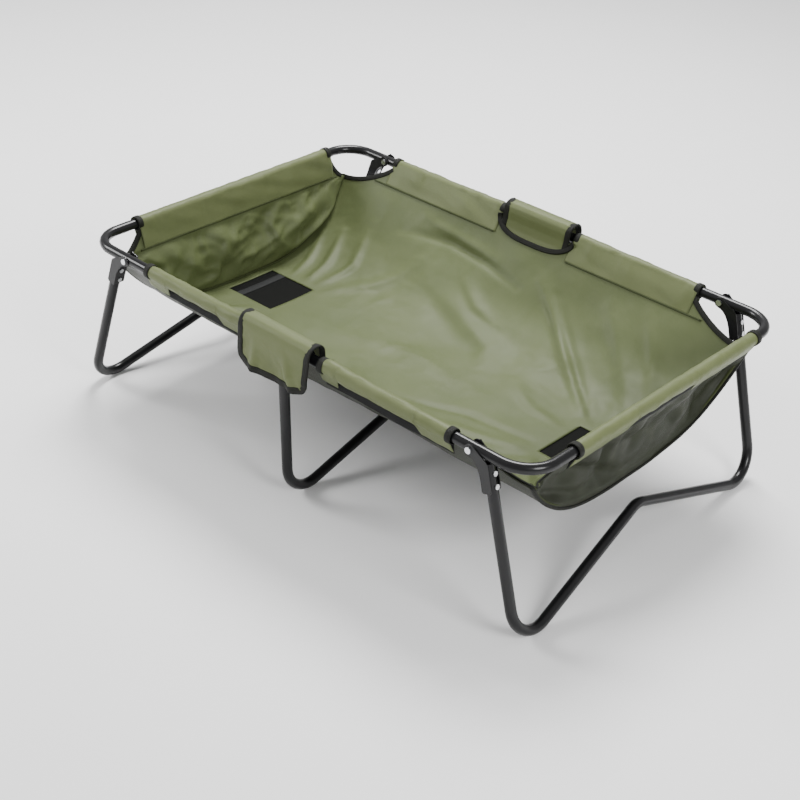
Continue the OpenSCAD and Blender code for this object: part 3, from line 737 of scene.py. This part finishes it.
def sleeve(name, kind, side, start, stop, window, band, seam_in, seam_z, seed):
    """A sleeve: its band inside, its turn over the rail and its tail. band(a) gives the seam's points."""
    place = on_rail(kind, side)
    slopes = [w + d for w in window for d in (-WINDOW_SLOPE, WINDOW_SLOPE)]
    a = spaced(sorted({start, stop, *slopes}), 0.0045)
    opened = smooth(a, slopes[0], slopes[1]) * (1 - smooth(a, slopes[2], slopes[3]))
    meet = tangent_angle(seam_in, seam_z)
    n, z = outer_path(meet, 1 - (1 - WINDOW_SHARE) * opened)
    k = np.arange(TURN_ROWS)[:, None]
    low = np.maximum(0.0, k / TURN_ROWS - 0.35)
    puff = 0.0012 * soft_noise(a / 0.022, k / 7, seed)
    puff = puff + 0.0022 * low * soft_noise(a / 0.035, k / 16, seed + 1)
    puff = puff + 0.0008 * (crinkle(a + 0 * k, 0 * a + k * 0.0016, 0.012, seed + 2) - 0.6)
    grow = np.maximum(puff, -0.0004) + 0.0002
    size = np.hypot(n, z)
    if kind == "long":
        beyond = np.abs(a) - CUT_OUT_HALF
        tent = 0.0042 * np.exp(-beyond / 0.055) * smooth(beyond, 0.0, 0.02)
        grow = grow + tent * np.maximum(z / size, 0) ** 1.5
    turn = np.stack(np.broadcast_arrays(*place(a + 0 * n, n + grow * n / size, z + grow * z / size)), -1)
    share = np.linspace(0, 1, BAND_ROWS, endpoint=False)[:, None, None]
    wrinkle = 0.0006 + 0.0022 * soft_noise(a / 0.045 + 1.5 * share[:, :, 0], 1.4 * share[:, :, 0], seed + 4)
    sag = np.sin(share * math.pi) * wrinkle[:, :, None]
    inner = band(a) * (1 - share) + turn[:1] * share
    inner = inner + sag * (np.array(place(0, 1, 0)) - np.array(place(0, 0, 0)))
    if kind == "long":
        wall = side * (section_y(np.minimum(inner[:, :, 2] - RAIL_Z, -0.002)) - 0.0015)
        near_end = (1 - smooth(np.minimum(a - start, stop - a), 0.0, 0.035)) * (1 - share[:, :, 0] ** 2)
        inner[:, :, 1] += near_end * (wall - inner[:, :, 1])
    return sheet(name, np.concatenate([inner, turn]), 0.0011)


def long_seam(side):
    def band(a):
        pucker = 0.0009 * soft_noise(a / 0.031, 0.5, 71)
        return tub_point(a, side * float(section_y(SIDE_SEAM_Z)), 0.0014 + pucker)[None]
    return band, HALF_W - float(section_y(SIDE_SEAM_Z))


def short_seam(end):
    def band(a):
        pucker = 0.0012 * soft_noise(a / 0.027, 0.5, 72)
        return end_point(end, a, END_SEAM_Z, 0.0014 + pucker)[None]
    return band, HALF_L - float(end_x(END_SEAM_Z))

# %% Make the sleeves
SLEEVES = {-1: [], 1: []}
for (end, side), reach in LONG_SLEEVE.items():
    start, stop = sorted((end * CUT_OUT_HALF, end * reach))
    window = tuple(sorted(end * w for w in LONG_WINDOW[end, side]))
    name = f"sleeve_{SIDES[side]}_{ENDS[end]}"
    seed = 80 + 7 * end + 3 * side
    made = sleeve(name, "long", side, start, stop, window, *long_seam(side), SIDE_SEAM_Z, seed)
    SLEEVES[end].append(painted(made, SLEEVE_CLOTH_LIT))
for end in ENDS:
    name = f"sleeve_end_{ENDS[end]}"
    start, stop = -SHORT_SLEEVE[-1], SHORT_SLEEVE[1]
    made = sleeve(name, "short", end, start, stop, SHORT_WINDOW, *short_seam(end), END_SEAM_Z, 100 + end)
    SLEEVES[end].append(painted(made, SLEEVE_CLOTH_LIT))
    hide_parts(f"rail_wraps_{ENDS[end]}")

# %% [markdown]
# ## Hook strips
# The black pile strip is sewn to the outside of the tub, just under the rail, and the sleeve's tail grips
# it.

# %% Make the hook strips
def strip_sheet(name, kind, side, start, stop, seed):
    place = on_rail(kind, side)
    stations = spaced([start, stop], 0.008)
    shares = np.linspace(0, 1, 7)
    grid = np.zeros((len(shares), len(stations), 3))
    for c, a in enumerate(stations):
        for k, t in enumerate(shares):
            wave = 0.0010 * float(soft_noise(a / 0.05, t, seed)) * t
            inward = 0.0064 + 0.0050 * t * t + wave
            grid[k, c] = place(a, inward, STRIP_TOP + (STRIP_Z - STRIP_TOP) * t + 0.5 * wave)
    return painted(sheet(name, grid, 0.0014), PILE)


STRIPS = {-1: [], 1: []}
for (end, side), reach in LONG_SLEEVE.items():
    start, stop = sorted((end * (CUT_OUT_HALF + STRIP_INSET), end * (reach - STRIP_INSET)))
    name = f"hook_strip_{SIDES[side]}_{ENDS[end]}"
    STRIPS[end].append(strip_sheet(name, "long", side, start, stop, 130 + end + 4 * side))
for end in ENDS:
    start, stop = STRIP_INSET - SHORT_SLEEVE[-1], SHORT_SLEEVE[1] - STRIP_INSET
    STRIPS[end].append(strip_sheet(f"hook_strip_end_{ENDS[end]}", "short", end, start, stop, 140 + end))
    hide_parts(f"hook_strips_{ENDS[end]}")

# %% [markdown]
# ## Centre flaps
# A flap of cloth hides each fold joint. It comes up through the cut-out in the tub wall, goes over the
# joint and hangs outside with round corners. It has to clear the hinge plates, so it is wider than the
# sleeves.

# %% Make the flaps
FLAP_X = {-1: (-0.094, 0.074), 1: (-0.080, 0.080)}
# The way over the joint (inward, up), as far as the rail's outside.
FLAP_PATH = [
    (0.0300, -0.0330), (0.0235, -0.0200), (0.0195, -0.0050), (0.0185, 0.0100), (0.0160, 0.0200),
    (0.0100, 0.0262), (0.0, 0.0278), (-0.0100, 0.0262), (-0.0160, 0.0200), (-0.0190, 0.0100),
    (-0.0200, -0.0050),
]
FLAP_ROWS, FLAP_COLUMNS = 64, 45


def flap_grid(side):
    low, high = FLAP_X[side]
    place = on_rail("long", side)
    grid = np.zeros((FLAP_ROWS, FLAP_COLUMNS, 3))
    for c, a in enumerate(np.linspace(low, high, FLAP_COLUMNS)):
        t = 2 * (a - low) / (high - low) - 1
        bottom = -0.038 - 0.027 * (1 - min(abs(t), 0.9995) ** 3.5) ** (1 / 2.6) - 0.002 * t
        outer = [(-0.0202 - 0.0016 * k / 8, -0.005 + (bottom + 0.005) * k / 8) for k in range(1, 9)]
        path = np.array(FLAP_PATH + outer)
        way = np.concatenate([[0], np.cumsum(np.hypot(*np.diff(path, axis=0).T))])
        for k, w in enumerate(np.linspace(0, way[-1], FLAP_ROWS)):
            n, z = np.interp(w, way, path[:, 0]), np.interp(w, way, path[:, 1])
            hanging = float(smooth(-z, -0.01, 0.05)) if n < 0 else 0.0
            wave = 0.0062 * math.exp(-((t + 0.50) / 0.11) ** 2)
            wave += 0.0060 * math.exp(-((t - 0.30 + 5 * z) / 0.12) ** 2)
            wave += 0.0034 * float(soft_noise(a / 0.03, z / 0.03, 150 + side))
            wave += 0.0024 * float(crinkle(a, z, 0.018, 152 + side) - 0.6)
            grid[k, c] = place(a, n - wave * hanging, z)
    return grid


FLAP_GRIDS = {side: flap_grid(side) for side in SIDES}
FLAPS = {}
for side, side_name in SIDES.items():
    flap = painted(sheet(f"flap_{side_name}", FLAP_GRIDS[side]), SLEEVE_CLOTH_LIT)
    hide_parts(f"centre_flap_{side_name}")
    FLAPS[side] = flap

# %% [markdown]
# ## Bound edges
# Binding is tape folded over a raw edge and sewn down. Here it is a flat rounded section swept along the
# edge, lying in the plane of the cloth. Its stitches are real little threads beside the inner fold.

# %% Sweep a tape along an edge
RING_SIDES, RING_PITCH = 12, 0.0016


def beside(tangent, across):
    """Unit vectors at each point of a path: along it, across it in the cloth's plane, and out of the plane."""
    tangent = tangent / np.linalg.norm(tangent, axis=1, keepdims=True)
    across = across - (across * tangent).sum(1, keepdims=True) * tangent
    across = across / np.linalg.norm(across, axis=1, keepdims=True)
    return tangent, across, np.cross(tangent, across)


def swept(name, path, across, half_wide, half_thick, centred=False, closed=False):
    """A flat rounded tape along a path. across points from the edge into the cloth."""
    path = np.asarray(path, float)
    tangent = np.roll(path, -1, 0) - np.roll(path, 1, 0) if closed else np.gradient(path, axis=0)
    across, normal = beside(tangent, np.asarray(across, float))[1:]
    middle = path + (0 if centred else half_wide - 0.0012) * across
    ring = []
    for k in range(RING_SIDES):
        angle = 2 * math.pi * k / RING_SIDES
        wide = math.copysign(abs(math.cos(angle)) ** 0.6, math.cos(angle)) * half_wide
        thick = math.copysign(abs(math.sin(angle)) ** 0.6, math.sin(angle)) * half_thick
        ring.append(middle + wide * across + thick * normal)
    grid = np.stack(ring, 0)
    count = len(path)
    steps = np.linalg.norm(np.diff(path, axis=0), axis=1)
    along = np.concatenate([[0], np.cumsum(steps), [steps.sum() + steps[-1]]])
    verts = [grid[k, i] for i in range(count) for k in range(RING_SIDES)]
    faces, uvs = [], []
    for i in range(count if closed else count - 1):
        j = (i + 1) % count
        first, second = i * RING_SIDES, j * RING_SIDES
        for k in range(RING_SIDES):
            m = (k + 1) % RING_SIDES
            faces.append((first + k, first + m, second + m, second + k))
            low, high = k * RING_PITCH, (k + 1) * RING_PITCH
            uvs += [(along[i], low), (along[i], high), (along[i + 1], high), (along[i + 1], low)]
    if not closed:
        for i in (0, count - 1):
            faces.append(tuple(i * RING_SIDES + k for k in range(RING_SIDES)))
            uvs += [(along[i], k * RING_PITCH) for k in range(RING_SIDES)]
    return solid_mesh(name, verts, faces, uvs)


def even(path, extra, step):
    """A path and the vectors beside it, taken again at even steps."""
    path, extra = np.asarray(path, float), np.asarray(extra, float)
    way = np.concatenate([[0], np.cumsum(np.linalg.norm(np.diff(path, axis=0), axis=1))])
    places = np.linspace(0, way[-1], max(3, round(way[-1] / step)))

    def take(values):
        return np.stack([np.interp(places, way, values[:, k]) for k in range(3)], 1)
    return take(path), take(extra)


STITCH_ROWS = {}
STITCH_STEP, THREAD_HALF, THREAD_R = 0.0050, 0.0016, 0.0004
THREAD_FACES = ((0, 2, 4), (0, 4, 3), (0, 3, 5), (0, 5, 2), (1, 4, 2), (1, 3, 4), (1, 5, 3), (1, 2, 5))


def sew(group, path, across, inset, lift):
    """Adds a row of stitches: short threads that lie just proud of the tape on both faces."""
    path, across = even(path, across, STITCH_STEP)
    verts, faces = STITCH_ROWS.setdefault(group, ([], []))
    for p, t, a, n in zip(path, *beside(np.gradient(path, axis=0), across)):
        for face in (-1, 1):
            centre = p + a * inset + n * lift * face
            base = len(verts)
            for reach in (t * THREAD_HALF, a * THREAD_R, n * THREAD_R):
                verts += [centre + reach, centre - reach]
            faces += [(base + i, base + j, base + k) for i, j, k in THREAD_FACES]


def tape(name, path, across, group, half_wide, half_thick):
    path, across = even(path, across, 0.004)
    obj = painted(put(name, swept(name, path, across, half_wide, half_thick)), BINDING)
    sew(group, path, across, 2 * half_wide - 0.0028, half_thick + 0.0001)
    return obj

# %% Corner bindings
def corner_path(end, side):
    """The concave edge from the long sleeve's end, through the tub's corner, to the short sleeve's end."""
    long_from, long_to = LONG_SLEEVE[end, side] - 0.002, end_x(-CORNER_DIP)
    path, across = [], []
    for x in np.linspace(long_from, long_to, 40):
        z = float(top_z(end * x, side))
        point, down = wall_edge(end * min(x, float(end_x(z)) - 0.001), z, side, 0.0006)
        path.append(point)
        across.append(down)
    for y in np.linspace(float(corner_y()) - 0.002, SHORT_SLEEVE[side] - 0.002, 26):
        z = float(end_top_z(side * y))
        path.append(end_point(end, side * y, z, 0.0006))
        across.append(end_point(end, side * y, z - 0.006, 0.0006) - path[-1])
    return np.array(path), np.array(across)


def rail_ring(name, kind, side, a):
    """Binding round the rail at a sleeve's end."""
    place = on_rail(kind, side)
    angles = np.linspace(0, 2 * math.pi, 40, endpoint=False)
    radius = SLEEVE_R + 0.0014
    path = [place(a, radius * math.cos(t), radius * math.sin(t)) for t in angles]
    direction = (1, 0, 0) if kind == "long" else (0, 1, 0)
    mesh = swept(name, path, [direction] * len(path), 0.0060, 0.0014, centred=True, closed=True)
    return painted(put(name, mesh), BINDING)


BINDINGS = {-1: [], 1: []}
for (end, side), reach in LONG_SLEEVE.items():
    where = f"{SIDES[side]}_{ENDS[end]}"
    path, across = corner_path(end, side)
    BINDINGS[end].append(tape(f"corner_binding_{where}", path, across, BODY[end], 0.0052, 0.0019))
    BINDINGS[end].append(rail_ring(f"long_ring_{where}", "long", side, end * (reach - 0.003)))
    BINDINGS[end].append(rail_ring(f"short_ring_{where}", "short", end, side * (SHORT_SLEEVE[side] - 0.003)))
    BINDINGS[end].append(rail_ring(f"middle_ring_{where}", "long", side, end * (CUT_OUT_HALF + 0.005)))
for end in ENDS:
    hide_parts(f"wrap_bindings_{ENDS[end]}")

# %% [markdown]
# ## Lower edge of the ends
# Where an end panel meets the tub, a black tape covers the joined edges. It follows the tub's curve, and it
# draws the outline of the bed's belly.

# %% Make the lower edge tapes
for end in ENDS:
    ys = arc_to_y(np.linspace(-float(arc(corner_y())), float(arc(corner_y())), 150))
    path = tub_point(end * (end_x(section_z(ys)) + 0.0025), ys, -0.0016)
    across = [(-end, 0, 0)] * len(path)
    name = f"lower_binding_{ENDS[end]}"
    BINDINGS[end].append(tape(name, path, across, BODY[end], 0.0036, 0.0029))

# %% Cut-out and flap bindings
MIDDLE = []
for side, side_name in SIDES.items():
    xs = np.linspace(-CUT_OUT_HALF, CUT_OUT_HALF, 70)
    path, across = zip(*(wall_edge(x, float(top_z(x, side)), side, 0.0022) for x in xs))
    tips = [wall_edge(x, -0.002, side, 0.0030)[0] for x in (-CUT_OUT_HALF, CUT_OUT_HALF)]
    path, across = (tips[0], *path, tips[1]), (across[0], *across, across[-1])
    MIDDLE.append(tape(f"cut_out_binding_{side_name}", path, across, "middle", 0.0052, 0.0019))
    grid = FLAP_GRIDS[side]
    left = [(row[0], row[4] - row[0]) for row in grid[6:]]
    bottom = [(grid[-1, c], grid[-6, c] - grid[-1, c]) for c in range(1, FLAP_COLUMNS - 1)]
    right = [(row[-1], row[-5] - row[-1]) for row in grid[:5:-1]]
    path, across = zip(*(left + bottom + right))
    MIDDLE.append(tape(f"flap_binding_{side_name}", path, across, "middle", 0.0064, 0.0019))

# %% [markdown]
# ## Seams
# A thin felled ridge covers each sleeve's inner edge. A corded seam joins the sides to the ends, inside the
# tub. Both are painted darker than the cloth, as shade in the seam's groove.

# %% Sleeve seams and corner seams
FELL = (0.0019, 0.0009)


def ridge(name, path, across, half_wide, half_thick):
    path, across = even(path, across, 0.005)
    mesh = swept(name, path, across, half_wide, half_thick, centred=True)
    # The ridge's darker cloth is painted shade in the seam's groove.
    return painted(put(name, mesh), SEAM_CLOTH_SHADED)


SEAMS = {-1: [], 1: []}
for (end, side), reach in LONG_SLEEVE.items():
    xs = np.linspace(*sorted((end * (CUT_OUT_HALF + 0.004), end * (reach + 0.03))), 60)
    heights = [min(SIDE_SEAM_Z, float(top_z(x, side)) - 0.004) for x in xs]
    path, across = zip(*(wall_edge(x, z, side, 0.0018) for x, z in zip(xs, heights)))
    SEAMS[end].append(ridge(f"side_seam_{SIDES[side]}_{ENDS[end]}", path, across, *FELL))
for end in ENDS:
    ys = np.linspace(-SHORT_SLEEVE[-1] - 0.01, SHORT_SLEEVE[1] + 0.01, 90)
    path = end_point(end, ys, END_SEAM_Z, 0.0018)
    across = end_point(end, ys, END_SEAM_Z - 0.006, 0.0018) - path
    SEAMS[end].append(ridge(f"end_seam_{ENDS[end]}", path, across, *FELL))
    for side in SIDES:
        ys = arc_to_y(np.linspace(0.0, float(arc(corner_y())), 110)) * side
        path = tub_point(end * (end_x(section_z(ys)) - 0.0035), ys, 0.0020)
        name = f"corner_seam_{SIDES[side]}_{ENDS[end]}"
        SEAMS[end].append(ridge(name, path, [(-end, 0, 0)] * len(path), 0.0030, 0.0022))

# %% [markdown]
# ## Drain windows
# Two square windows let water run out. Each is black net, hemmed under the liner, with one webbing strap
# across.

# %% Make the nets and straps
DRAINS = {-1: [], 1: []}
for end, end_name in ENDS.items():
    xs = end * np.linspace(NET_X[0] - 0.010, NET_X[1] + 0.008, 28)
    ys = np.linspace(-NET_HALF - 0.010, NET_HALF + 0.010, 28)
    net = sheet(f"drain_net_{end_name}", tub_point(xs[None, :], ys[:, None], -0.0016), 0.0008)
    painted(net, NET)
    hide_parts(f"drain_mesh_{end_name}")
    strap_low, strap_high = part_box(f"drain_strap_{end_name}")
    strap_x = np.linspace(strap_low.x, strap_high.x, 5)
    strap_y = np.linspace(-NET_HALF - 0.008, NET_HALF + 0.008, 30)
    strap_grid = tub_point(strap_x[None, :], strap_y[:, None], -0.0004)
    strap = sheet(f"drain_strap_piece_{end_name}", strap_grid, 0.0010)
    painted(strap, WEBBING)
    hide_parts(f"drain_strap_{end_name}")
    DRAINS[end] = [net, strap]

# %% [markdown]
# ## Riding
# Each piece on one half of the frame rides on that half. The liner, the cover, the flaps and their bindings
# cross the fold joint, so they are baked in place and ride on neither half.

# %% Thread pieces and riding
STITCHES = {}
for group, (verts, faces) in STITCH_ROWS.items():
    name = f"stitches_{group}"
    STITCHES[group] = painted(put(name, solid_mesh(name, verts, faces)), THREAD)

for end, body in BODY.items():
    cloths = [*END_SHEETS[end], *SLEEVES[end], *STRIPS[end]]
    trims = [*BINDINGS[end], *SEAMS[end], *DRAINS[end], STITCHES[body]]
    for piece in cloths + trims:
        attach(piece, body)
for piece in [tub_liner, tub_cover, *FLAPS.values(), *MIDDLE, STITCHES["middle"]]:
    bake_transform(piece)

across, length = round(2 * ARC_S[-1], 2), 1.02
for piece in (tub_liner, tub_cover):
    0.93 * across * length
for end in ENDS:
    for piece in SLEEVES[end]:
        length = 0.52 if piece.name.startswith("sleeve_end") else 0.28
    for piece in STRIPS[end]:
        length = 0.51 if piece.name.startswith("hook_strip_end") else 0.27
    net, strap = DRAINS[end]

# %% [markdown]
# ## Floor, light and camera
# A plain pale floor and three big soft lamps give the even studio light that coated cloth needs: a wide one
# overhead draws the highlights on tubes and folds, and two weaker ones fill the sides.

# %% Floor
def pale_floor():
    made = Finish("pale_floor", Specular_IOR_Level=0.1)
    place = made.node("ShaderNodeTexCoord", output=3)
    grain = made.node("ShaderNodeTexNoise", {}, place, Scale=3.0, Detail=2.0)
    tone = made.mix(grain, (0.90, 0.90, 0.90, 1), (0.93, 0.93, 0.93, 1))
    return made.set(Base_Color=tone, Roughness=0.9 - grain * 0.05).material


FLOOR_REACH, FLOOR_Z = 14, -0.001
mesh = bpy.data.meshes.new("floor")
corners = [(x * FLOOR_REACH, y * FLOOR_REACH, FLOOR_Z) for x, y in ((-1, -1), (1, -1), (1, 1), (-1, 1))]
mesh.from_pydata(corners, [], [(0, 1, 2, 3)])
floor = put("floor", mesh)
floor.data.materials.append(pale_floor())

# %% Lamps and world
LAMP_AIM = Vector((0, 0, 0.2))


def lamp(name, place, size, power):
    data = bpy.data.lights.new(name, "AREA")
    data.shape, data.size, data.energy = "DISK", size, power
    obj = bpy.data.objects.new(name, data)
    bpy.context.scene.collection.objects.link(obj)
    obj.location = place
    obj.rotation_euler = (LAMP_AIM - Vector(place)).to_track_quat("-Z", "Y").to_euler()


lamp("overhead", (-0.9, 1.3, 3.0), 1.6, 185)
lamp("left_fill", (-2.8, -1.8, 1.9), 1.4, 100)
lamp("right_fill", (2.9, -0.6, 2.0), 1.4, 75)
world = bpy.data.worlds.new("studio")
world.use_nodes = True
world.node_tree.nodes["Background"].inputs[0].default_value = (1, 1, 1, 1)
world.node_tree.nodes["Background"].inputs[1].default_value = 0.55
bpy.context.scene.world = world

# %% Camera
CAMERA_PLACE = Vector((1.52993, -1.87604, 1.26244 + RAIL_Z))
YAW, PITCH, ROLL = -0.7528, 0.5694, 0.0472
forward = Vector((math.sin(YAW) * math.cos(PITCH), math.cos(YAW) * math.cos(PITCH), -math.sin(PITCH)))
level = Vector((math.cos(YAW), -math.sin(YAW), 0))
upright = level.cross(forward)
right = math.cos(ROLL) * level + math.sin(ROLL) * upright
up = -math.sin(ROLL) * level + math.cos(ROLL) * upright
camera = bpy.data.objects.new("camera", bpy.data.cameras.new("camera"))
bpy.context.scene.collection.objects.link(camera)
camera.matrix_world = Matrix.Translation(CAMERA_PLACE) @ Matrix((right, up, -forward)).transposed().to_4x4()
camera.data.lens, camera.data.sensor_width = 67.285, 36
camera.data.shift_x, camera.data.shift_y = 0.0924, 0.0088
bpy.context.scene.camera = camera
